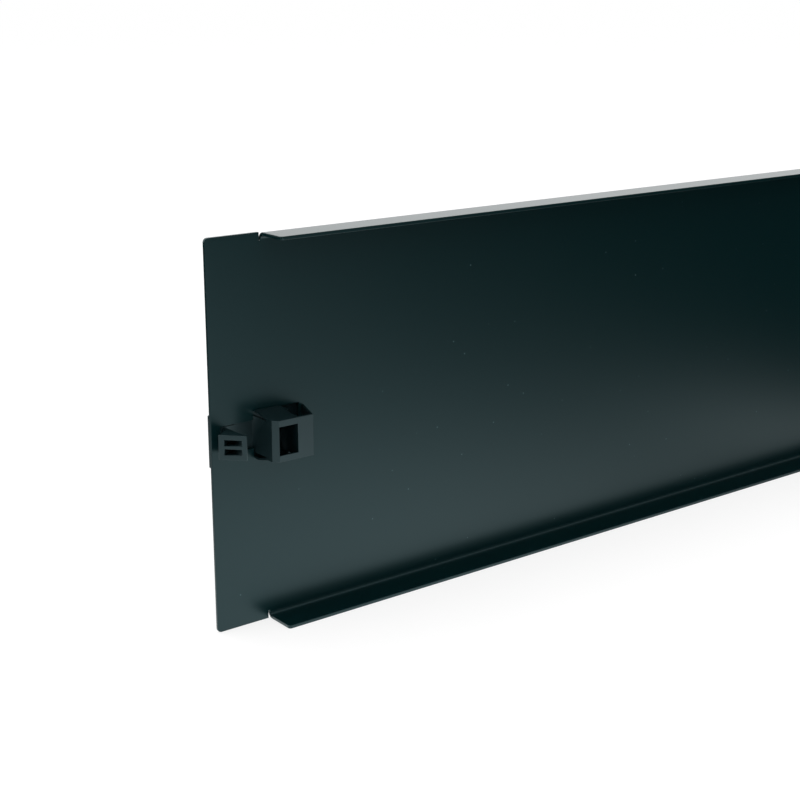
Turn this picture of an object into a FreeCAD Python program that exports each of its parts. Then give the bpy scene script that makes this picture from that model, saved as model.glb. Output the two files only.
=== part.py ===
import FreeCAD, Part
import os
import Sketcher

# Rack blanking panel, three rack units tall: a folded steel sheet that two snap-in clips hold to the
# rack's rails without tools.
#
# Frame of the panel: X runs along it, Y points into the rack and Z points up. The origin lies on the
# face that bears on the rails, at the middle of the panel's length and height.
# Frame of a clip: X runs inwards from the panel's end, Y and Z are the panel's.

# Driving dimensions, in millimetres.
SIZES = {
    # the rack: its unit, then its rails' square holes and inner edges as they lie from a panel's end,
    # where the 19-inch standard puts them
    "unit_height": 44.45,
    "hole_from_end": 8.75,
    "rail_edge_from_end": 15.9,
    "hole_size": 9.5,
    "rail_thickness": 2.0,
    # the folded sheet
    "panel_length": 482.6,
    "rack_units": 3,
    "height_clearance": 0.8,
    "sheet_thickness": 1.2,
    "flange_depth": 12.0,
    "flange_inset": 20.5,
    "bend_radius": 1.2,
    "relief_width": 0.5,
    "relief_reach": 0.4,
    "plate_corner_radius": 1.4,
    "flange_corner_radius": 1.0,
    # clearances of the clip in the sheet's window, in the rail's hole and between the rails
    "fit_gap": 0.15,
    "hole_clearance": 0.2,
    "catch_clearance": 0.2,
    "guide_clearance": 0.3,
    # the clip's bezel, which covers the window from the front
    "bezel_thickness": 0.8,
    "bezel_lip": 2.0,
    "bezel_rim": 1.1,
    "bezel_corner_radius": 0.3,
    # the block that fills the sheet's slot under the hook
    "root_margin": 0.6,
    "root_width": 5.4,
    "root_ledge": 0.5,
    # the hook that snaps through the rail's square hole
    "arm_thickness": 1.6,
    "arm_lean": 0.4,
    "hook_height": 8.2,
    "hook_overlap": 4.6,
    "hook_reach": 12.2,
    "nose_rise": 3.0,
    "nose_radius": 0.2,
    "tip_radius": 0.2,
    "core_height": 2.0,
    "rib_thickness": 1.05,
    "core_from_nose": 2.0,
    "core_from_tip": 1.9,
    # the box that guides the clip between the rails
    "box_width": 15.1,
    "box_height": 14.0,
    "box_reach": 12.2,
    "box_wall": 1.0,
    "bevel_run": 1.9,
    "bevel_drop": 1.6,
    "port_width": 7.2,
    "port_height": 9.7,
    # the sprung fingers that hold the clip behind the sheet
    "finger_thickness": 0.75,
    "finger_width": 9.0,
    "finger_flare": 1.1,
    "finger_root": 4.4,
    "finger_knee": 2.3,
    "finger_end_gap": 0.25,
    "finger_room": 0.75,
    "finger_catch": 0.6,
    "side_finger_room": 2.6,
    "side_finger_catch": 1.7,
}

# Places worked out from the driving dimensions. A name without a sheet before it is a place above it.
PLACES = {
    # the sheet
    "half_length": "Dims.panel_length / 2",
    "half_height": "(Dims.rack_units * Dims.unit_height - Dims.height_clearance) / 2",
    "front_face": "-Dims.sheet_thickness",
    "bend_outside": "Dims.bend_radius + Dims.sheet_thickness",
    "bend_start": "half_height - bend_outside",
    "flange_inside": "half_height - Dims.sheet_thickness",
    "flange_end": "half_length - Dims.flange_inset",
    "relief_end": "flange_end + Dims.relief_width",
    "relief_floor": "bend_start - Dims.relief_reach",
    # the hook, measured from the panel's end and from the rear face
    "hole_edge": "Dims.hole_from_end - Dims.hole_size / 2",
    "arm_start": "hole_edge + Dims.hole_clearance",
    "arm_end": "arm_start + Dims.arm_thickness",
    "catch_level": "Dims.rail_thickness + Dims.catch_clearance",
    "nose_along": "hole_edge - Dims.hook_overlap",
    "nose_level": "catch_level + Dims.nose_rise",
    "tip_along": "arm_end + Dims.arm_lean",
    "ramp_run": "tip_along - nose_along",
    "ramp_climb": "Dims.hook_reach - nose_level",
    "ramp_length": "sqrt(ramp_run ^ 2 + ramp_climb ^ 2)",
    "core_nose_along": "nose_along + ramp_run * Dims.core_from_nose / ramp_length",
    "core_nose_level": "nose_level + ramp_climb * Dims.core_from_nose / ramp_length",
    "core_tip_along": "tip_along - ramp_run * Dims.core_from_tip / ramp_length",
    "core_tip_level": "Dims.hook_reach - ramp_climb * Dims.core_from_tip / ramp_length",
    "barb_slope": "Dims.nose_rise / (arm_start - nose_along)",
    "core_floor_level": "core_nose_level - (core_tip_along - core_nose_along) * barb_slope",
    # the block under the hook and the slot round it
    "root_start": "arm_start - Dims.root_margin",
    "root_end": "root_start + Dims.root_width",
    "root_top": "Dims.hook_height / 2 + Dims.root_ledge",
    "slot_start": "root_start - Dims.fit_gap",
    "slot_top": "root_top + Dims.fit_gap",
    # the box, its port and the window round it
    "box_start": "Dims.rail_edge_from_end + Dims.guide_clearance",
    "box_end": "box_start + Dims.box_width",
    "box_top": "Dims.box_height / 2",
    "wall_height": "Dims.box_height - 2 * Dims.finger_thickness",
    "box_inside": "box_start + Dims.box_wall",
    "face_inside": "Dims.box_reach - Dims.box_wall",
    "bevel_end": "box_start + Dims.bevel_run",
    "bevel_level": "Dims.box_reach - Dims.bevel_drop",
    "bevel_inside": "bevel_level - Dims.box_wall / 2",
    "rim_level": "Dims.box_reach - Dims.finger_root",
    "port_end": "bevel_end + Dims.port_width",
    "port_top": "Dims.port_height / 2",
    "window_start": "box_start - Dims.fit_gap",
    "window_end": "box_end + Dims.side_finger_room",
    "window_top": "box_top + Dims.finger_room",
    # the fingers, which are widest at the box's face and catch behind the window with their free ends
    "finger_inside": "box_top - Dims.finger_thickness",
    "finger_end": "box_start + Dims.finger_width",
    "finger_face_end": "finger_end + Dims.finger_flare",
    "finger_top": "window_top + Dims.finger_catch",
    "side_finger_end": "window_end + Dims.side_finger_catch",
    # the bezel
    "bezel_end": "window_end + Dims.bezel_lip",
    "bezel_top": "window_top + Dims.bezel_rim",
}

DIGITS = 6
VOLUME_STEP = 0.01

doc = FreeCAD.newDocument("rack_blanking_panel")


def add_sheet(name, cells):
    """A spreadsheet with one named cell to a row: its alias in column A and its content in column B."""
    sheet = doc.addObject("Spreadsheet::Sheet", name)
    for row, (alias, content) in enumerate(cells.items(), start=1):
        sheet.set(f"A{row}", alias)
        sheet.set(f"B{row}", content)
        sheet.setAlias(f"B{row}", alias)
    doc.recompute()
    return sheet


dims = add_sheet("Dims", {alias: str(number) for alias, number in SIZES.items()})
places = add_sheet("Places", {alias: "=" + text for alias, text in PLACES.items()})


def size(expression):
    """What an expression over the two sheets comes to."""
    return float(places.evalExpression(expression))


def negative(expression):
    return f"-({expression})"


def rectangle(left, right, bottom, top):
    """The corners of a rectangle, anticlockwise."""
    return [(left, bottom), (right, bottom), (right, top), (left, top)]


def upright_rectangle(left, right, top):
    """The corners of a rectangle that reaches as far below the horizontal axis as above it."""
    return rectangle(left, right, negative(top), top)


def add_body(label):
    body = doc.addObject("PartDesign::Body", label)
    body.Label = label
    return body


def add_sketch(body, name, plane, outlines, offset="0"):
    """A sketch on one of the body's own planes, moved by offset along the plane's normal.

    Each outline is closed, and each of its corners is held by two expressions.
    """
    sketch = body.newObject("Sketcher::SketchObject", name)
    support = [feature for feature in body.Origin.OriginFeatures if feature.Role == plane]
    sketch.AttachmentSupport = (support[0], [""])
    sketch.MapMode = "FlatFace"
    sketch.setExpression("AttachmentOffset.Base.z", offset)
    for corners in outlines:
        draw_outline(sketch, corners)
    return sketch


def draw_outline(sketch, corners):
    first = sketch.GeometryCount
    points = [FreeCAD.Vector(size(across), size(up), 0) for across, up in corners]
    lines = [Part.LineSegment(point, points[(i + 1) % len(points)]) for i, point in enumerate(points)]
    sketch.addGeometry(lines)
    for i, (across, up) in enumerate(corners):
        line = first + i
        following = first + (i + 1) % len(corners)
        sketch.addConstraint(Sketcher.Constraint("Coincident", line, 2, following, 1))
        for kind, expression in (("DistanceX", across), ("DistanceY", up)):
            constraint = Sketcher.Constraint(kind, -1, 1, line, 1, size(expression))
            number = sketch.addConstraint(constraint)
            sketch.setExpression(f"Constraints[{number}]", expression)


def add_pad(sketch, length, side="One side", backwards=False):
    body = sketch.getParentGeoFeatureGroup()
    pad = body.newObject("PartDesign::Pad", sketch.Name + "_pad")
    pad.Profile = sketch
    pad.SideType = side
    pad.Reversed = backwards
    pad.setExpression("Length", length)
    sketch.Visibility = False
    doc.recompute()
    return pad


def add_pocket(sketch, length=None, side="One side", backwards=False):
    """A cut of the given length, or through everything, that must take material away."""
    body = sketch.getParentGeoFeatureGroup()
    before = body.Shape.Volume
    pocket = body.newObject("PartDesign::Pocket", sketch.Name + "_cut")
    pocket.Profile = sketch
    pocket.SideType = side
    pocket.Reversed = backwards
    if length is None:
        pocket.Type = "ThroughAll"
    else:
        pocket.setExpression("Length", length)
    sketch.Visibility = False
    doc.recompute()
    if body.Shape.Volume > before - VOLUME_STEP:
        raise ValueError(f"{pocket.Label} cuts nothing")
    return pocket


def add_mirror(features, plane):
    """The same features again on the other side of one of the body's own planes."""
    body = features[0].getParentGeoFeatureGroup()
    support = [origin for origin in body.Origin.OriginFeatures if origin.Role == plane]
    mirrored = body.newObject("PartDesign::Mirrored", features[0].Name + "_mirrored")
    mirrored.Originals = features
    mirrored.MirrorPlane = (support[0], [""])
    body.Tip = mirrored
    doc.recompute()
    return mirrored


def round_edges(feature, radius, axis, lines):
    """Round the straight edges along one axis that lie on the given lines.

    A line is given by its two places on the other axes, in the order X, Y, Z.
    """
    others = [i for i in range(3) if i != axis]
    wanted = {tuple(round(size(place), DIGITS) for place in line) for line in lines}
    names = []
    for number, edge in enumerate(feature.Shape.Edges, start=1):
        start, end = (vertex.Point for vertex in (edge.Vertexes[0], edge.Vertexes[-1]))
        foot = tuple(round(start[i], DIGITS) for i in others)
        if foot == tuple(round(end[i], DIGITS) for i in others) and foot in wanted:
            names.append(f"Edge{number}")
    body = feature.getParentGeoFeatureGroup()
    fillet = body.newObject("PartDesign::Fillet", feature.Name + "_round")
    fillet.Base = (feature, names)
    fillet.setExpression("Radius", radius)
    doc.recompute()
    return fillet


X_AXIS, Y_AXIS, Z_AXIS = range(3)
BOTH_WAYS = ("{}", "-({})")


def four_ways(across, up):
    """The same place in each of the four quarters."""
    return [(right.format(across), top.format(up)) for right in BOTH_WAYS for top in BOTH_WAYS]


def make_panel():
    """The sheet: a web as long as the panel, folded rearwards along its top and bottom."""
    body = add_body("blanking_panel")

    # The channel between the two ends: web and both flanges in section, then the two bends.
    height, inside = "Places.half_height", "Places.flange_inside"
    front, depth = "Places.front_face", "Dims.flange_depth"
    section = [
        (front, negative(height)),
        (depth, negative(height)),
        (depth, negative(inside)),
        ("0", negative(inside)),
        ("0", inside),
        (depth, inside),
        (depth, height),
        (front, height),
    ]
    channel_sketch = add_sketch(body, "channel_section", "YZ_Plane", [section])
    channel = add_pad(channel_sketch, "2 * Places.flange_end", side="Symmetric")
    inner = round_edges(channel, "Dims.bend_radius", X_AXIS, [("0", inside), ("0", negative(inside))])
    bent = round_edges(inner, "Places.bend_outside", X_AXIS, [(front, height), (front, negative(height))])
    corners = [(end, depth) for end in ("Places.flange_end", negative("Places.flange_end"))]
    flanged = round_edges(bent, "Dims.flange_corner_radius", Z_AXIS, corners)

    # The flat web. A relief slit parts each end from the flange beside it, just past the bend.
    quarter = [
        ("Places.half_length", "Places.half_height"),
        ("Places.relief_end", "Places.half_height"),
        ("Places.relief_end", "Places.relief_floor"),
        ("Places.flange_end", "Places.relief_floor"),
        ("Places.flange_end", "Places.bend_start"),
    ]
    top_right = quarter
    top_left = [(negative(across), up) for across, up in reversed(quarter)]
    bottom_left = [(negative(across), negative(up)) for across, up in quarter]
    bottom_right = [(across, negative(up)) for across, up in reversed(quarter)]
    outline = top_right + top_left + bottom_left + bottom_right
    web_sketch = add_sketch(body, "web_outline", "XZ_Plane", [outline])
    web = add_pad(web_sketch, "Dims.sheet_thickness")
    plate_corners = four_ways("Places.half_length", "Places.half_height")
    rounded = round_edges(web, "Dims.plate_corner_radius", Y_AXIS, plate_corners)

    # One stepped window at each end: a slot for the hook that opens into the box's window.
    steps = [
        ("Places.slot_start", "Places.slot_top"),
        ("Places.window_start", "Places.slot_top"),
        ("Places.window_start", "Places.window_top"),
        ("Places.window_end", "Places.window_top"),
    ]
    upper = [(f"Places.half_length - {along}", up) for along, up in steps]
    lower = [(across, negative(up)) for across, up in reversed(upper)]
    right_window = upper + lower
    left_window = [(negative(across), up) for across, up in right_window]
    windows = add_sketch(body, "clip_windows", "XZ_Plane", [right_window, left_window])
    add_pocket(windows, side="Symmetric")
    return body


def make_bezel(body):
    """The cover plate on the sheet's front face, flush with the sheet's end."""
    outline = upright_rectangle("0", "Places.bezel_end", "Places.bezel_top")
    sketch = add_sketch(body, "bezel", "XZ_Plane", [outline], offset="Dims.sheet_thickness")
    bezel = add_pad(sketch, "Dims.bezel_thickness")
    corners = [(end, up) for end in ("0", "Places.bezel_end")
               for up in ("Places.bezel_top", negative("Places.bezel_top"))]
    return round_edges(bezel, "Dims.bezel_corner_radius", Y_AXIS, corners)


def make_hook(body):
    """The sprung hook: an arm on its root block, a barb, and a ramp with two cored pockets."""
    block = upright_rectangle("Places.root_start", "Places.root_end", "Places.root_top")
    add_pad(add_sketch(body, "root_block", "XZ_Plane", [block]), "Dims.sheet_thickness")

    nose = ("Places.nose_along", "Places.nose_level")
    tip = ("Places.tip_along", "Dims.hook_reach")
    profile = [
        ("Places.arm_start", "Places.front_face"),
        ("Places.arm_end", "Places.front_face"),
        ("Places.arm_end", "Places.catch_level"),
        tip,
        nose,
        ("Places.arm_start", "Places.catch_level"),
    ]
    hook_sketch = add_sketch(body, "hook_profile", "XY_Plane", [profile])
    hook = add_pad(hook_sketch, "Dims.hook_height", side="Symmetric")
    nosed = round_edges(hook, "Dims.nose_radius", Z_AXIS, [nose])
    round_edges(nosed, "Dims.tip_radius", Z_AXIS, [tip])

    core = [
        ("Places.core_nose_along", "Places.core_nose_level"),
        ("Places.core_tip_along", "Places.core_floor_level"),
        ("Places.core_tip_along", "Places.core_tip_level"),
    ]
    core_sketch = add_sketch(body, "hook_core", "XY_Plane", [core], offset="Dims.rib_thickness / 2")
    pocket = add_pocket(core_sketch, "Dims.core_height", backwards=True)
    return add_mirror([pocket], "XY_Plane")


def make_box(body):
    """The guide box: an outer wall with a bevelled lead-in, a face with a port, and an inner wall."""
    face_side = [
        ("Places.box_start", "Places.bevel_level"),
        ("Places.bevel_end", "Dims.box_reach"),
        ("Places.box_end", "Dims.box_reach"),
        ("Places.box_end", "Places.face_inside"),
        ("Places.bevel_end", "Places.face_inside"),
        ("Places.box_inside", "Places.bevel_inside"),
    ]
    shell = [("Places.box_start", "Places.front_face")] + face_side
    shell.append(("Places.box_inside", "Places.front_face"))
    add_pad(add_sketch(body, "box_shell", "XY_Plane", [shell]), "Places.wall_height", side="Symmetric")
    rim = [("Places.box_start", "Places.rim_level")] + face_side
    rim.append(("Places.box_inside", "Places.rim_level"))
    add_pad(add_sketch(body, "box_rim", "XY_Plane", [rim]), "Dims.box_height", side="Symmetric")

    inner = rectangle("Places.port_end", "Places.port_end + Dims.box_wall",
                      "Places.front_face", "Dims.box_reach")
    add_pad(add_sketch(body, "inner_wall", "XY_Plane", [inner]), "Places.wall_height", side="Symmetric")
    port = upright_rectangle("Places.bevel_end", "Places.port_end", "Places.port_top")
    port_sketch = add_sketch(body, "port", "XZ_Plane", [port], offset="-Dims.box_reach")
    return add_pocket(port_sketch, "Dims.box_wall", backwards=True)


def make_fingers(body):
    """The fingers over, under and beside the box, whose free ends catch behind the window's edges."""
    root, knee = "Places.rim_level", "Dims.finger_knee"
    outer = [
        ("Dims.box_reach", "Places.box_top"),
        (root, "Places.box_top"),
        (knee, "Places.finger_top"),
        ("Dims.finger_end_gap", "Places.finger_top"),
    ]
    inner = [(along, f"{up} - Dims.finger_thickness") for along, up in reversed(outer)]
    finger_sketch = add_sketch(body, "finger", "YZ_Plane", [outer + inner], offset="Places.box_start")
    finger = add_pad(finger_sketch, "Dims.finger_width + Dims.finger_flare")
    flare = [
        ("Places.finger_end", "Dims.finger_end_gap"),
        ("Places.finger_face_end", "Dims.finger_end_gap"),
        ("Places.finger_face_end", "Places.face_inside"),
    ]
    flare_sketch = add_sketch(body, "finger_flare", "XY_Plane", [flare], offset="Places.finger_inside")
    tapered = add_pocket(flare_sketch, backwards=True)
    mirrored = add_mirror([finger, tapered], "XY_Plane")

    side = [
        ("Places.box_end", "Dims.box_reach"),
        ("Places.side_finger_end", "Dims.finger_end_gap"),
        ("Places.side_finger_end - Dims.finger_thickness", "Dims.finger_end_gap"),
        ("Places.box_end - Dims.finger_thickness", "Dims.box_reach"),
    ]
    side_sketch = add_sketch(body, "side_finger", "XY_Plane", [side])
    add_pad(side_sketch, "Dims.box_height", side="Symmetric")

    # The lead-in bevel runs on over the two fingers' roots.
    bevel = [
        ("Places.box_start", "Places.bevel_level"),
        ("Places.bevel_end", "Dims.box_reach"),
        ("Places.box_start", "Dims.box_reach"),
    ]
    add_pocket(add_sketch(body, "bevel", "XY_Plane", [bevel]), "Dims.box_height", side="Symmetric")
    return mirrored


def make_clip(label, end, turn):
    """One clip, moulded in a piece and seated at one end of the panel.

    Both ends take the same moulding: it is alike above and below, so half a turn about the rear
    face's normal swaps the ends.
    """
    body = add_body(label)
    make_bezel(body)
    make_hook(body)
    make_box(body)
    make_fingers(body)
    body.Placement = FreeCAD.Placement(FreeCAD.Vector(), FreeCAD.Rotation(FreeCAD.Vector(0, 1, 0), turn))
    body.setExpression("Placement.Base.x", end)
    return body


HALF_TURN = 180

parts = [
    make_panel(),
    make_clip("snap_clip_left", "-Places.half_length", 0),
    make_clip("snap_clip_right", "Places.half_length", HALF_TURN),
]
doc.recompute()

for item in doc.Objects:
    if "Invalid" in item.State or "Error" in item.State:
        raise ValueError(f"{item.Label} did not compute")
for part in parts:
    if part.Shape.isNull() or not part.Shape.isValid() or len(part.Shape.Solids) != 1:
        raise ValueError(f"{part.Label} is not one valid solid")

os.makedirs("parts", exist_ok=True)
for part in parts:
    part.Shape.exportStep(f"parts/{part.Label}.step")
    box = part.Shape.BoundBox
    print(part.Label, round(part.Shape.Volume, 1), [round(v, 2) for v in (
        box.XMin, box.XMax, box.YMin, box.YMax, box.ZMin, box.ZMax)])
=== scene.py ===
"""Looks for a rack blanking panel: a folded, powder-coated sheet with a moulded clip at each end."""

import math

import bmesh
import bpy
from bpy.props import FloatProperty, FloatVectorProperty, IntProperty, PointerProperty
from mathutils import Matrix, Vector


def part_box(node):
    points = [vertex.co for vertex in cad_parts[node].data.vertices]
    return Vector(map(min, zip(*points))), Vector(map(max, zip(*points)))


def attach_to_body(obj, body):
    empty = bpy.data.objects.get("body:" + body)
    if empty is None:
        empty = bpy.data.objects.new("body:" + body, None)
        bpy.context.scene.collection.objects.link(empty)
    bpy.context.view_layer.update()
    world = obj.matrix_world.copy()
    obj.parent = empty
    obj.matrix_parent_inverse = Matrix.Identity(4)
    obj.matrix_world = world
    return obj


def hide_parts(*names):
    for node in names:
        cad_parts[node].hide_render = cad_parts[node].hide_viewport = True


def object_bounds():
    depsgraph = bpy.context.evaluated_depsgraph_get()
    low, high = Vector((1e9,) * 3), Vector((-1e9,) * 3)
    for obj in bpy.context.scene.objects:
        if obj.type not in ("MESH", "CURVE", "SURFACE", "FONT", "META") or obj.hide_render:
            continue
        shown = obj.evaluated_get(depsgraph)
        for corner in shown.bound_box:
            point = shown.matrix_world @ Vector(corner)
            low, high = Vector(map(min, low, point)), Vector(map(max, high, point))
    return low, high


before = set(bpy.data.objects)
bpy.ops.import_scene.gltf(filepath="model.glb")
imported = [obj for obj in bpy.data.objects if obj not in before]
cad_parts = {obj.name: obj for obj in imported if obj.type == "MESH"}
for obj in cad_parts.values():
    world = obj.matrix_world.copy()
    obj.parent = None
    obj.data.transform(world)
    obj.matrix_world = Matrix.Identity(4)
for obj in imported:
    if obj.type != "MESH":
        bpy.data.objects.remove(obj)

bl_info = {
    "name": "Rack Blanking Panel",
    "version": (1, 0, 0),
    "blender": (4, 5, 0),
    "location": "View3D > Sidebar > Blanking Panel",
    "description": "Folds the sheet, moulds the clips and sets them in a plain studio",
    "category": "Add Mesh",
}

MM = 0.001
CAD_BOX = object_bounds()
SHEET_LOW, SHEET_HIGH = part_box("blanking_panel")
CLIPS = {"snap_clip_left": "moulded_clip_left", "snap_clip_right": "moulded_clip_right"}

# Edges sharper than the first angle count as edges. Faces flatter than the second are one face.
SHARP_ANGLE = math.radians(28)
FLAT_ANGLE = math.radians(0.5)
MERGE_DISTANCE = 0.001 * MM

# Indices of refraction. Real nylon has about 1.53, but the clips read brighter, so theirs is set higher.
COAT_IOR = 1.5
NYLON_IOR = 1.7

# Centre, radius and share of the brightness of each painted pool of light, in metres: a glow on the floor
# that only glossy rays see. The first three paint the reflection that grades the plate and the last one
# paints a highlight on the hook.
PAINTED_POOLS = (((0.174, 0.027), 0.234, 0.8), ((0.246, 0.655), 0.292, 1.375), ((-0.103, 0.045), 0.066, 0.276),
         ((0.50, 0.10), 0.12, 0.42))

# Where the mirrored backdrop and ceiling start and end, as the Y and the Z of the way looked along.
BACKDROP_START, BACKDROP_FULL = 0.25, -0.25
CEILING_START, CEILING_FULL = 0.35, 0.8

SOFTBOX_SIDE = 1.6
SOFTBOX_PLACE = (0.3, -0.2, 1.8)

CAMERA_PLACE = (0.4716, 0.3963, 0.1427)
CAMERA_WAY = (-0.5892, -0.7610, -0.2717)
CAMERA_LENS, CAMERA_SENSOR = 66.74, 36.0
CAMERA_NEAR = 0.01


def linear(hex_code):
    """An sRGB hex value as linear red, green and blue."""
    channels = [int(hex_code[i:i + 2], 16) / 255 for i in (1, 3, 5)]
    return [c / 12.92 if c <= 0.04045 else ((c + 0.055) / 1.055) ** 2.4 for c in channels]


def length_property(name, description, default):
    return FloatProperty(name=name, description=description, default=default, min=0.0, unit="LENGTH")


def colour_property(name, description, hex_code):
    return FloatVectorProperty(name=name, description=description, default=linear(hex_code),
                               min=0.0, max=1.0, subtype="COLOR")


class SheetSizes(bpy.types.PropertyGroup):
    """The folded sheet. Places along it are measured from its end."""

    length: length_property("Length", "From end to end", SHEET_HIGH.x - SHEET_LOW.x)
    height: length_property("Height", "Over the two flanges", SHEET_HIGH.z - SHEET_LOW.z)
    thickness: length_property("Thickness", "Gauge of the sheet", -SHEET_LOW.y)
    flange_depth: length_property("Flange depth", "From the rear face to a flange's edge", SHEET_HIGH.y)
    flange_inset: length_property("Flange inset", "From the sheet's end to a flange's end", 20.5 * MM)
    bend_radius: length_property("Bend radius", "Inside radius of the two bends", 1.2 * MM)
    neutral_share: FloatProperty(name="Neutral share", default=0.44, min=0.0, max=1.0, subtype="FACTOR",
                                 description="Depth of the line that keeps its length in the bend")
    fold: FloatProperty(name="Fold", description="Angle that each flange is folded by",
                        default=math.radians(90), subtype="ANGLE")
    relief_width: length_property("Relief width", "Slit between a flange and the end tab", 0.5 * MM)
    relief_reach: length_property("Relief reach", "How far the slit passes the bend", 0.4 * MM)
    tab_corner: length_property("Tab corner", "Radius of the sheet's four corners", 1.4 * MM)
    flange_corner: length_property("Flange corner", "Radius of the flanges' corners", 1.0 * MM)
    slot_start: length_property("Slot start", "Where the hook's slot starts", 3.45 * MM)
    slot_rise: length_property("Slot rise", "Half the height of the hook's slot", 4.75 * MM)
    window_start: length_property("Window start", "Where the box's window starts", 16.05 * MM)
    window_end: length_property("Window end", "Where the box's window ends", 33.9 * MM)
    window_rise: length_property("Window rise", "Half the height of the box's window", 7.75 * MM)
    edge_radius: length_property("Edge radius", "Punched edge under its coat", 0.2 * MM)
    bend_steps: IntProperty(name="Bend steps", description="Facets across a bend", default=12, min=2)
    corner_steps: IntProperty(name="Corner steps", description="Facets round a corner", default=8, min=1)
    edge_steps: IntProperty(name="Edge steps", description="Facets round an edge", default=3, min=1)


class ClipSizes(bpy.types.PropertyGroup):
    """The two snap-in clips, whose shape comes from the solid."""

    edge_radius: length_property("Edge radius", "Radius that the mould leaves on outer edges", 0.1 * MM)
    edge_steps: IntProperty(name="Edge steps", description="Facets round an edge", default=2, min=1)
    stop_start: length_property("Stop start", "From the sheet's end to the stop ribs", 25.75 * MM)
    stop_thickness: length_property("Stop thickness", "Of a stop rib, along the panel", 0.5 * MM)
    stop_depth: length_property("Stop depth", "Of a stop rib, out from the rear face", 5.4 * MM)
    stop_root: length_property("Stop root", "Half the height of the wall that it grows from", 6.2 * MM)
    stop_rise: length_property("Stop rise", "Half the height over the two stop ribs", 8.0 * MM)
    stop_gap: length_property("Stop gap", "Between a stop rib and the rear face", 0.1 * MM)


class Finishes(bpy.types.PropertyGroup):
    """Colours and gloss of the two materials."""

    coat: colour_property("Coat", "Body colour of the powder coat", "#001A1C")
    coat_roughness: FloatProperty(name="Coat roughness", description="Semi-gloss powder coat",
                                  default=0.30, min=0.0, max=1.0, subtype="FACTOR")
    sheen: colour_property("Sheen", "Cool tint of what both finishes mirror", "#D2F8FF")
    dust: colour_property("Dust", "Colour of the dust specks", "#3E5457")
    nylon: colour_property("Nylon", "Body colour of the moulded nylon", "#021417")
    nylon_roughness: FloatProperty(name="Nylon roughness", description="Spark-eroded mould skin",
                                   default=0.40, min=0.0, max=1.0, subtype="FACTOR")


class StageSettings(bpy.types.PropertyGroup):
    """Floor, light and camera."""

    floor_size: length_property("Floor size", "Side of the square floor", 30.0)
    floor_colour: colour_property("Floor colour", "Pale floor that takes the shadow", "#959595")
    floor_glow: FloatProperty(name="Floor glow", description="Lifts the lit floor to white for the eye",
                              default=0.71, min=0.0)
    ambient: FloatProperty(name="Ambient", description="Even light from all round", default=0.96, min=0.0)
    # Painted bounce light: the floor glows by this much for diffuse rays, though it is no lamp.
    bounce: FloatProperty(name="Bounce", description="Light that the floor returns to matt surfaces",
                          default=0.8, min=0.0)
    # Brightness of the painted pools of light, which glow on the floor for glossy rays only.
    pool_strength: FloatProperty(name="Pool strength", description="Brightness of the lamplight in gloss",
                                 default=1.6, min=0.0)
    backdrop: FloatProperty(name="Backdrop", description="Brightness in gloss of the far wall",
                            default=1.48, min=0.0)
    ceiling: FloatProperty(name="Ceiling", description="Brightness of the ceiling in gloss", default=0.64,
                           min=0.0)
    softbox_power: FloatProperty(name="Softbox power", description="Light from overhead", default=18.0,
                                 min=0.0, unit="POWER")


def new_node(tree, kind, inputs=None, **settings):
    """Add a node. Each input, by name or number, takes a value or a link from an output socket."""
    added = tree.nodes.new(kind)
    for name, value in settings.items():
        setattr(added, name, value)
    for key, value in (inputs or {}).items():
        if isinstance(value, bpy.types.NodeSocket):
            tree.links.new(value, added.inputs[key])
        else:
            added.inputs[key].default_value = value
    return added


def new_material(name):
    """An empty node material with its Principled shader."""
    material = bpy.data.materials.new(name)
    material.use_nodes = True
    return material, material.node_tree, material.node_tree.nodes["Principled BSDF"]


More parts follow.
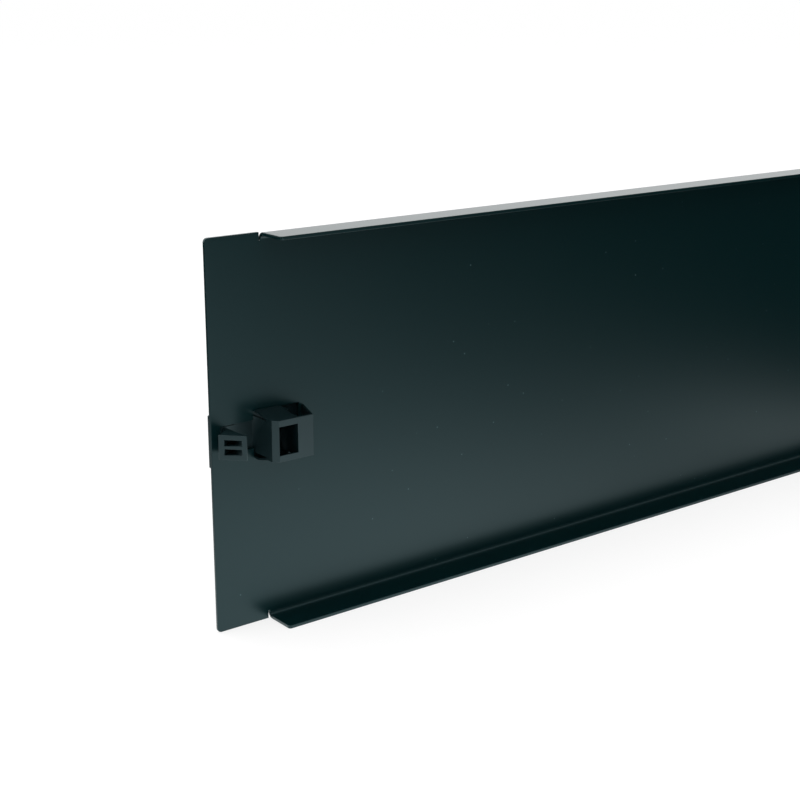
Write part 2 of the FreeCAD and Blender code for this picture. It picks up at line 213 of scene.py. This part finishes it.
def powder_coat(finish):
    """Semi-gloss black polyester powder coat, sprayed dry and baked on steel.

    The melt levels out into a faint orange peel, so it mirrors its surroundings softly, and a few
    specks of dust lie on it.
    """
    material, tree, shader = new_material("semi_gloss_powder_coat")
    place = new_node(tree, "ShaderNodeTexCoord").outputs["Object"]
    shader.inputs["IOR"].default_value = COAT_IOR
    shader.inputs["Specular Tint"].default_value = (*finish.sheen, 1)
    peel_pitch, grain_pitch, cloud_pitch = 1.6 * MM, 0.35 * MM, 60 * MM
    peel_depth, grain_depth = 0.006 * MM, 0.0012 * MM
    gloss_spread = 0.02

    # Orange peel over a finer grain. The peel is drawn a little coarser than it is, so that it shows.
    peel = new_node(tree, "ShaderNodeTexNoise", {"Vector": place, "Scale": 1 / peel_pitch, "Detail": 1.0})
    grain = new_node(tree, "ShaderNodeTexNoise", {"Vector": place, "Scale": 1 / grain_pitch, "Detail": 1.0})
    fine = new_node(tree, "ShaderNodeBump", {"Height": grain.outputs["Fac"], "Strength": 1.0,
                                             "Distance": grain_depth})
    coarse = new_node(tree, "ShaderNodeBump", {"Height": peel.outputs["Fac"], "Strength": 1.0,
                                               "Distance": peel_depth, "Normal": fine.outputs["Normal"]})
    tree.links.new(coarse.outputs["Normal"], shader.inputs["Normal"])

    # Handling leaves the gloss a little uneven.
    cloud = new_node(tree, "ShaderNodeTexNoise", {"Vector": place, "Scale": 1 / cloud_pitch, "Detail": 2.0})
    gloss = new_node(tree, "ShaderNodeMapRange", {"Value": cloud.outputs["Fac"],
                                                  "To Min": finish.coat_roughness - gloss_spread,
                                                  "To Max": finish.coat_roughness + gloss_spread})
    tree.links.new(gloss.outputs["Result"], shader.inputs["Roughness"])

    # Dust: one speck to a cell at most, where the cell's centre lies near enough to the surface.
    speck_pitch, speck_radius = 7 * MM, 0.17 * MM
    cells = new_node(tree, "ShaderNodeTexVoronoi", {"Vector": place, "Scale": 1 / speck_pitch})
    near = new_node(tree, "ShaderNodeMapRange", {"Value": cells.outputs["Distance"],
                                                 "From Min": speck_radius / speck_pitch,
                                                 "From Max": 2 * speck_radius / speck_pitch,
                                                 "To Min": 1.0, "To Max": 0.0})
    colour = new_node(tree, "ShaderNodeMix", {"Factor": near.outputs["Result"],
                                              "A": (*finish.coat, 1), "B": (*finish.dust, 1)},
                      data_type="RGBA")
    tree.links.new(colour.outputs["Result"], shader.inputs["Base Color"])
    return material


def moulded_nylon(finish):
    """Black nylon, injection moulded in a spark-eroded tool, whose fine pits leave a silky skin."""
    material, tree, shader = new_material("moulded_nylon_66")
    place = new_node(tree, "ShaderNodeTexCoord").outputs["Object"]
    shader.inputs["IOR"].default_value = NYLON_IOR
    shader.inputs["Specular Tint"].default_value = (*finish.sheen, 1)
    shader.inputs["Base Color"].default_value = (*finish.nylon, 1)
    pit_pitch, pit_depth, flow_pitch = 0.22 * MM, 0.004 * MM, 7 * MM
    gloss_spread = 0.05
    pits = new_node(tree, "ShaderNodeTexNoise", {"Vector": place, "Scale": 1 / pit_pitch, "Detail": 2.0})
    skin = new_node(tree, "ShaderNodeBump", {"Height": pits.outputs["Fac"], "Strength": 1.0,
                                             "Distance": pit_depth})
    tree.links.new(skin.outputs["Normal"], shader.inputs["Normal"])
    flow = new_node(tree, "ShaderNodeTexNoise", {"Vector": place, "Scale": 1 / flow_pitch, "Detail": 2.0})
    gloss = new_node(tree, "ShaderNodeMapRange", {"Value": flow.outputs["Fac"],
                                                  "To Min": finish.nylon_roughness - gloss_spread,
                                                  "To Max": finish.nylon_roughness + gloss_spread})
    tree.links.new(gloss.outputs["Result"], shader.inputs["Roughness"])
    return material


def flat_blank(sheet):
    """The punched blank before it is folded, as a flat solid whose rear face lies at Y 0."""
    half_length, half_height = sheet.length / 2, sheet.height / 2
    flange_end = half_length - sheet.flange_inset
    relief_end = flange_end + sheet.relief_width
    bend_start = half_height - sheet.bend_radius - sheet.thickness
    relief_floor = bend_start - sheet.relief_reach
    arc = sheet.fold * (sheet.bend_radius + sheet.neutral_share * sheet.thickness)
    flange_edge = bend_start + arc + sheet.flange_depth - sheet.bend_radius
    slot = [half_length - sheet.window_start, half_length - sheet.slot_start]
    window = [half_length - sheet.window_end, half_length - sheet.window_start]

    columns = [window[0], flange_end, relief_end, *slot, half_length]
    columns = [-x for x in reversed(columns)] + columns
    bend = [bend_start + arc * i / sheet.bend_steps for i in range(sheet.bend_steps + 1)]
    web_rows = [sheet.slot_rise, sheet.window_rise, relief_floor]

    def upper_rows(x):
        if x < flange_end:
            return web_rows + bend + [flange_edge]
        if x < relief_end:
            return web_rows
        return web_rows + [half_height]

    def punched_out(x, z):
        in_slot = slot[0] < x < slot[1] and z < sheet.slot_rise
        return in_slot or (window[0] < x < window[1] and z < sheet.window_rise)

    shape = bmesh.new()
    corners = {}

    def corner(x, z):
        key = (round(x / MM, 4), round(z / MM, 4))
        if key not in corners:
            corners[key] = shape.verts.new((x, 0, z))
        return corners[key]

    for left, right in zip(columns, columns[1:]):
        middle = abs(left + right) / 2
        upper = upper_rows(middle)
        rows = [-z for z in reversed(upper)] + upper
        for low, high in zip(rows, rows[1:]):
            if not punched_out(middle, abs(low + high) / 2):
                shape.faces.new([corner(left, low), corner(left, high), corner(right, high),
                                 corner(right, low)])

    for across, up, radius in ((half_length, half_height, sheet.tab_corner),
                               (flange_end, flange_edge, sheet.flange_corner)):
        found = [corner(x, z) for x in (-across, across) for z in (-up, up)]
        bmesh.ops.bevel(shape, geom=found, offset=radius, segments=sheet.corner_steps,
                        profile=0.5, affect="VERTICES")
    front = bmesh.ops.extrude_face_region(shape, geom=shape.faces[:], use_keep_orig=True)["geom"]
    moved = [v for v in front if isinstance(v, bmesh.types.BMVert)]
    bmesh.ops.translate(shape, verts=moved, vec=(0, -sheet.thickness, 0))
    bmesh.ops.recalc_face_normals(shape, faces=shape.faces[:])
    mesh = bpy.data.meshes.new("flat_blank")
    shape.to_mesh(mesh)
    shape.free()
    return mesh


def fold_tree():
    """Geometry Nodes that fold a flat blank: whatever lies past a bend line is rolled round it."""
    tree = bpy.data.node_groups.new("fold_flanges", "GeometryNodeTree")
    face = tree.interface
    face.new_socket("Geometry", in_out="INPUT", socket_type="NodeSocketGeometry")
    for name in ("Bend Line", "Inside Radius", "Arc Length", "Fold Angle", "Flange End"):
        face.new_socket(name, in_out="INPUT", socket_type="NodeSocketFloat")
    face.new_socket("Coat", in_out="INPUT", socket_type="NodeSocketMaterial")
    face.new_socket("Geometry", in_out="OUTPUT", socket_type="NodeSocketGeometry")
    given = new_node(tree, "NodeGroupInput").outputs
    place = new_node(tree, "ShaderNodeSeparateXYZ",
                     {0: new_node(tree, "GeometryNodeInputPosition").outputs[0]}).outputs

    def math_node(operation, *values):
        return new_node(tree, "ShaderNodeMath", dict(enumerate(values)), operation=operation).outputs[0]

    # How far a point lies past the bend line, and how much of that the bend takes up.
    up = math_node("ABSOLUTE", place["Z"])
    past = math_node("SUBTRACT", up, given["Bend Line"])
    rolled = math_node("MAXIMUM", math_node("MINIMUM", past, given["Arc Length"]), 0.0)
    straight = math_node("MAXIMUM", math_node("SUBTRACT", past, given["Arc Length"]), 0.0)
    turn = math_node("MULTIPLY", math_node("DIVIDE", rolled, given["Arc Length"]), given["Fold Angle"])
    sine, cosine = math_node("SINE", turn), math_node("COSINE", turn)

    # The rear face is the inside of the bend, so a point's radius grows with its depth below it.
    radius = math_node("SUBTRACT", given["Inside Radius"], place["Y"])
    back = math_node("SUBTRACT", given["Inside Radius"], math_node("MULTIPLY", radius, cosine))
    new_y = math_node("MULTIPLY_ADD", straight, sine, back)
    rise = math_node("MULTIPLY_ADD", straight, cosine, math_node("MULTIPLY", radius, sine))
    new_z = math_node("MULTIPLY", math_node("ADD", given["Bend Line"], rise),
                      math_node("SIGN", place["Z"]))
    folded = new_node(tree, "ShaderNodeCombineXYZ", {"X": place["X"], "Y": new_y, "Z": new_z})

    # Only the middle folds. The two end tabs stay flat.
    along = math_node("LESS_THAN", math_node("ABSOLUTE", place["X"]), given["Flange End"])
    chosen = math_node("MULTIPLY", along, math_node("GREATER_THAN", past, 0.0))
    moved = new_node(tree, "GeometryNodeSetPosition",
                     {"Geometry": given["Geometry"], "Selection": chosen, "Position": folded.outputs[0]})
    real = new_node(tree, "GeometryNodeRealizeInstances", {"Geometry": moved.outputs[0]})
    coated = new_node(tree, "GeometryNodeSetMaterial",
                      {"Geometry": real.outputs[0], "Material": given["Coat"]})
    new_node(tree, "NodeGroupOutput", {"Geometry": coated.outputs[0]})
    return tree


def set_input(modifier, name, value):
    """Set a Geometry Nodes modifier's input by its socket's identifier."""
    sockets = modifier.node_group.interface.items_tree
    socket = next(s for s in sockets if s.name == name and s.in_out == "INPUT")
    modifier[socket.identifier] = value


def new_object(name, mesh):
    piece = bpy.data.objects.new(name, mesh)
    bpy.context.scene.collection.objects.link(piece)
    return piece


def soften_edges(piece, radius, steps):
    """Round every sharp edge, and keep the flat faces flat to the light."""
    piece.data.shade_smooth()
    rounding = piece.modifiers.new("edges", "BEVEL")
    rounding.width = radius
    rounding.segments = steps
    rounding.limit_method = "ANGLE"
    rounding.angle_limit = SHARP_ANGLE
    flatten(piece)


def flatten(piece):
    """Let the large faces set the normals, so that only the roundings catch the light as curved."""
    normals = piece.modifiers.new("normals", "WEIGHTED_NORMAL")
    normals.mode = "FACE_AREA_WITH_ANGLE"
    normals.keep_sharp = True


def settle(piece, material):
    """Turn the piece and its live modifiers into one plain mesh."""
    evaluated = piece.evaluated_get(bpy.context.evaluated_depsgraph_get())
    mesh = bpy.data.meshes.new_from_object(evaluated, depsgraph=bpy.context.evaluated_depsgraph_get())
    piece.modifiers.clear()
    piece.data = mesh
    mesh.name = piece.name
    mesh.materials.clear()
    mesh.materials.append(material)
    if not mesh.polygons:
        raise RuntimeError(f"{piece.name} came out empty")


def attach(piece, node):
    """Stand the piece in for a solid, on the one body that the object has."""
    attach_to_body(piece, "root")
    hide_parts(node)


class PANEL_OT_fold_sheet(bpy.types.Operator):
    """Punch the blank, fold its two flanges and powder-coat it"""

    bl_idname = "blanking_panel.fold_sheet"
    bl_label = "Fold the sheet"

    def execute(self, context):
        sheet, finish = context.scene.sheet_sizes, context.scene.panel_finishes
        coat = powder_coat(finish)
        piece = new_object("folded_sheet", flat_blank(sheet))
        fold = piece.modifiers.new("fold", "NODES")
        fold.node_group = fold_tree()
        neutral = sheet.bend_radius + sheet.neutral_share * sheet.thickness
        set_input(fold, "Bend Line", sheet.height / 2 - sheet.bend_radius - sheet.thickness)
        set_input(fold, "Inside Radius", sheet.bend_radius)
        set_input(fold, "Arc Length", sheet.fold * neutral)
        set_input(fold, "Fold Angle", sheet.fold)
        set_input(fold, "Flange End", sheet.length / 2 - sheet.flange_inset + sheet.relief_width / 2)
        set_input(fold, "Coat", coat)
        soften_edges(piece, sheet.edge_radius, sheet.edge_steps)
        settle(piece, coat)
        attach(piece, "blanking_panel")
        return {"FINISHED"}


def add_stop_ribs(shape, side, clip):
    """The thin rib beside the free end of each of the box's two fingers, which keeps it straight."""
    middle = side * (SHEET_HIGH.x - clip.stop_start - clip.stop_thickness / 2)
    for upright in (-1, 1):
        rib = bmesh.ops.create_cube(shape, size=1)["verts"]
        size = (clip.stop_thickness, clip.stop_depth - clip.stop_gap, clip.stop_rise - clip.stop_root)
        bmesh.ops.scale(shape, verts=rib, vec=size)
        place = (middle, (clip.stop_depth + clip.stop_gap) / 2,
                 upright * (clip.stop_rise + clip.stop_root) / 2)
        bmesh.ops.translate(shape, verts=rib, vec=place)


def rounded_moulding(solid, name, clip):
    """A copy of a solid's mesh, merged into whole faces. Outer edges are rounded, inner ones crisp."""
    shape = bmesh.new()
    shape.from_mesh(solid)
    bmesh.ops.remove_doubles(shape, verts=shape.verts[:], dist=MERGE_DISTANCE)
    bmesh.ops.dissolve_limit(shape, angle_limit=FLAT_ANGLE, verts=shape.verts[:], edges=shape.edges[:])
    side = math.copysign(1, sum(vert.co.x for vert in shape.verts))
    add_stop_ribs(shape, side, clip)
    outer = []
    for edge in shape.edges:
        angle = edge.calc_face_angle_signed()
        if angle > SHARP_ANGLE:
            outer.append(edge)
        edge.smooth = angle > -SHARP_ANGLE
    bmesh.ops.bevel(shape, geom=outer, offset=clip.edge_radius, segments=clip.edge_steps, profile=0.5,
                    affect="EDGES", clamp_overlap=False)
    mesh = bpy.data.meshes.new(name)
    shape.to_mesh(mesh)
    shape.free()
    mesh.shade_smooth()
    return mesh


class PANEL_OT_mould_clips(bpy.types.Operator):
    """Give the two clips the soft edges and silky skin of a moulding"""

    bl_idname = "blanking_panel.mould_clips"
    bl_label = "Mould the clips"

    def execute(self, context):
        clip = context.scene.clip_sizes
        nylon = moulded_nylon(context.scene.panel_finishes)
        for node, name in CLIPS.items():
            piece = new_object(name, rounded_moulding(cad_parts[node].data, name, clip))
            flatten(piece)
            settle(piece, nylon)
            attach(piece, node)
        return {"FINISHED"}


def floor_material(stage):
    """Matt white studio floor. It reads as white to the eye and keeps the object's faint shadow.

    The glossy pieces don't mirror that white. For gloss the floor is painted dark, with soft painted pools of
    light glowing on it. This painted reflection grades the plate from slate to nearly black.
    """
    material, tree, _ = new_material("studio_floor")
    material.cycles.emission_sampling = "NONE"
    tree.nodes.clear()
    rays = new_node(tree, "ShaderNodeLightPath").outputs
    place = new_node(tree, "ShaderNodeTexCoord").outputs["Object"]
    # Painted pools of light: a glow, summed here, that only glossy rays see. It stands in for lamplight on
    # the floor.
    glow = 0.0
    for (across, back), radius, share in PAINTED_POOLS:
        level = new_node(tree, "ShaderNodeVectorMath", {0: place, 1: (1 / radius, 1 / radius, 0.0)},
                         operation="MULTIPLY")
        away = new_node(tree, "ShaderNodeVectorMath",
                        {0: level.outputs[0], 1: (across / radius, back / radius, 0.0)},
                        operation="DISTANCE").outputs["Value"]
        squared = new_node(tree, "ShaderNodeMath", {0: away, 1: away}, operation="MULTIPLY")
        negative = new_node(tree, "ShaderNodeMath", {0: squared.outputs[0], 1: -1.0}, operation="MULTIPLY")
        fade = new_node(tree, "ShaderNodeMath", {0: negative.outputs[0]}, operation="EXPONENT")
        glow = new_node(tree, "ShaderNodeMath", {0: fade.outputs[0], 1: share * stage.pool_strength, 2: glow},
                        operation="MULTIPLY_ADD").outputs[0]
    seen = new_node(tree, "ShaderNodeMath", {0: rays["Is Camera Ray"], 1: rays["Is Transmission Ray"]},
                    operation="MAXIMUM")
    strength = new_node(tree, "ShaderNodeMath", {0: seen.outputs[0], 1: stage.floor_glow},
                        operation="MULTIPLY")
    # Painted bounce light: the floor glows for diffuse rays, which lifts the object's matt faces.
    bounced = new_node(tree, "ShaderNodeMath",
                       {0: rays["Is Diffuse Ray"], 1: stage.bounce, 2: strength.outputs[0]},
                       operation="MULTIPLY_ADD")
    strength = new_node(tree, "ShaderNodeMath",
                        {0: rays["Is Glossy Ray"], 1: glow, 2: bounced.outputs[0]},
                        operation="MULTIPLY_ADD")
    # For gloss the floor's matt colour turns black. This is the painted dark floor around the painted pools.
    tint = new_node(tree, "ShaderNodeMix", {"Factor": rays["Is Glossy Ray"],
                                            "A": (*stage.floor_colour, 1), "B": (0, 0, 0, 1)},
                    data_type="RGBA")
    matt = new_node(tree, "ShaderNodeBsdfDiffuse", {"Color": tint.outputs["Result"]})
    white = new_node(tree, "ShaderNodeEmission", {"Strength": strength.outputs[0]})
    both = new_node(tree, "ShaderNodeAddShader", {0: matt.outputs[0], 1: white.outputs[0]})
    new_node(tree, "ShaderNodeOutputMaterial", {"Surface": both.outputs[0]})
    return material


def light_world(stage):
    """White all round to the eye. In gloss the wall that the camera faces is bright, the ceiling is
    dimmer and the wall behind the camera is dark.
    """
    world = bpy.data.worlds.new("studio")
    bpy.context.scene.world = world
    world.use_nodes = True
    world.cycles.sampling_method = "NONE"
    tree = world.node_tree
    tree.nodes.clear()
    rays = new_node(tree, "ShaderNodeLightPath").outputs
    way = new_node(tree, "ShaderNodeSeparateXYZ",
                   {0: new_node(tree, "ShaderNodeTexCoord").outputs["Generated"]}).outputs
    backdrop = new_node(tree, "ShaderNodeMapRange",
                        {"Value": way["Y"], "From Min": BACKDROP_START, "From Max": BACKDROP_FULL,
                         "To Min": 0.0, "To Max": stage.backdrop}, interpolation_type="SMOOTHSTEP")
    ceiling = new_node(tree, "ShaderNodeMapRange",
                       {"Value": way["Z"], "From Min": CEILING_START, "From Max": CEILING_FULL,
                        "To Min": 0.0, "To Max": stage.ceiling}, interpolation_type="SMOOTHSTEP")
    mirrored = new_node(tree, "ShaderNodeMath", {0: backdrop.outputs["Result"],
                                                 1: ceiling.outputs["Result"]}, operation="MAXIMUM")
    seen = new_node(tree, "ShaderNodeMath", {0: rays["Is Camera Ray"], 1: rays["Is Transmission Ray"]},
                    operation="MAXIMUM")
    plain = new_node(tree, "ShaderNodeMix", {"Factor": seen.outputs[0], "A": stage.ambient, "B": 1.0})
    strength = new_node(tree, "ShaderNodeMix", {"Factor": rays["Is Glossy Ray"],
                                                "A": plain.outputs[0], "B": mirrored.outputs[0]})
    light = new_node(tree, "ShaderNodeBackground", {"Color": (1, 1, 1, 1), "Strength": strength.outputs[0]})
    new_node(tree, "ShaderNodeOutputWorld", {"Surface": light.outputs[0]})


def place_camera():
    """The view from behind the panel's right end, a little above it."""
    data = bpy.data.cameras.new("camera")
    data.sensor_width = CAMERA_SENSOR
    data.lens = CAMERA_LENS
    data.clip_start = CAMERA_NEAR
    camera = new_object("camera", data)
    camera.location = CAMERA_PLACE
    camera.rotation_mode = "QUATERNION"
    camera.rotation_quaternion = Vector(CAMERA_WAY).to_track_quat("-Z", "Y")
    bpy.context.scene.camera = camera


class PANEL_OT_set_stage(bpy.types.Operator):
    """Lay the floor, light it softly and place the camera"""

    bl_idname = "blanking_panel.set_stage"
    bl_label = "Set the stage"

    def execute(self, context):
        stage = context.scene.stage_settings
        half = stage.floor_size / 2
        mesh = bpy.data.meshes.new("floor")
        corners = [(-half, -half), (half, -half), (half, half), (-half, half)]
        mesh.from_pydata([(x, y, CAD_BOX[0].z) for x, y in corners], [], [(0, 1, 2, 3)])
        mesh.materials.append(floor_material(stage))
        floor = new_object("floor", mesh)
        light_world(stage)

        lamp = bpy.data.lights.new("softbox", "AREA")
        lamp.size = SOFTBOX_SIDE
        lamp.energy = stage.softbox_power
        softbox = new_object("softbox", lamp)
        softbox.location = SOFTBOX_PLACE
        softbox.rotation_mode = "QUATERNION"
        softbox.rotation_quaternion = (-softbox.location).to_track_quat("-Z", "Y")

        place_camera()
        context.scene.view_settings.view_transform = "Standard"
        return {"FINISHED"}


class PANEL_PT_sidebar(bpy.types.Panel):
    """The panel's steps and sizes"""

    bl_label = "Blanking Panel"
    bl_space_type = "VIEW_3D"
    bl_region_type = "UI"
    bl_category = "Blanking Panel"

    def draw(self, context):
        for step in STEPS:
            self.layout.operator(step.bl_idname)
        for name, group in SETTINGS.items():
            column = self.layout.column(heading=group.__name__)
            for field in group.__annotations__:
                column.prop(getattr(context.scene, name), field)


STEPS = (PANEL_OT_fold_sheet, PANEL_OT_mould_clips, PANEL_OT_set_stage)
SETTINGS = {"sheet_sizes": SheetSizes, "clip_sizes": ClipSizes, "panel_finishes": Finishes,
            "stage_settings": StageSettings}
CLASSES = (*SETTINGS.values(), *STEPS, PANEL_PT_sidebar)


def register():
    for item in CLASSES:
        bpy.utils.register_class(item)
    for name, group in SETTINGS.items():
        setattr(bpy.types.Scene, name, PointerProperty(type=group))


def unregister():
    for name in SETTINGS:
        delattr(bpy.types.Scene, name)
    for item in reversed(CLASSES):
        bpy.utils.unregister_class(item)


def main():
    register()
    bpy.ops.blanking_panel.fold_sheet()
    bpy.ops.blanking_panel.mould_clips()
    bpy.ops.blanking_panel.set_stage()


if __name__ == "__main__":
    main()
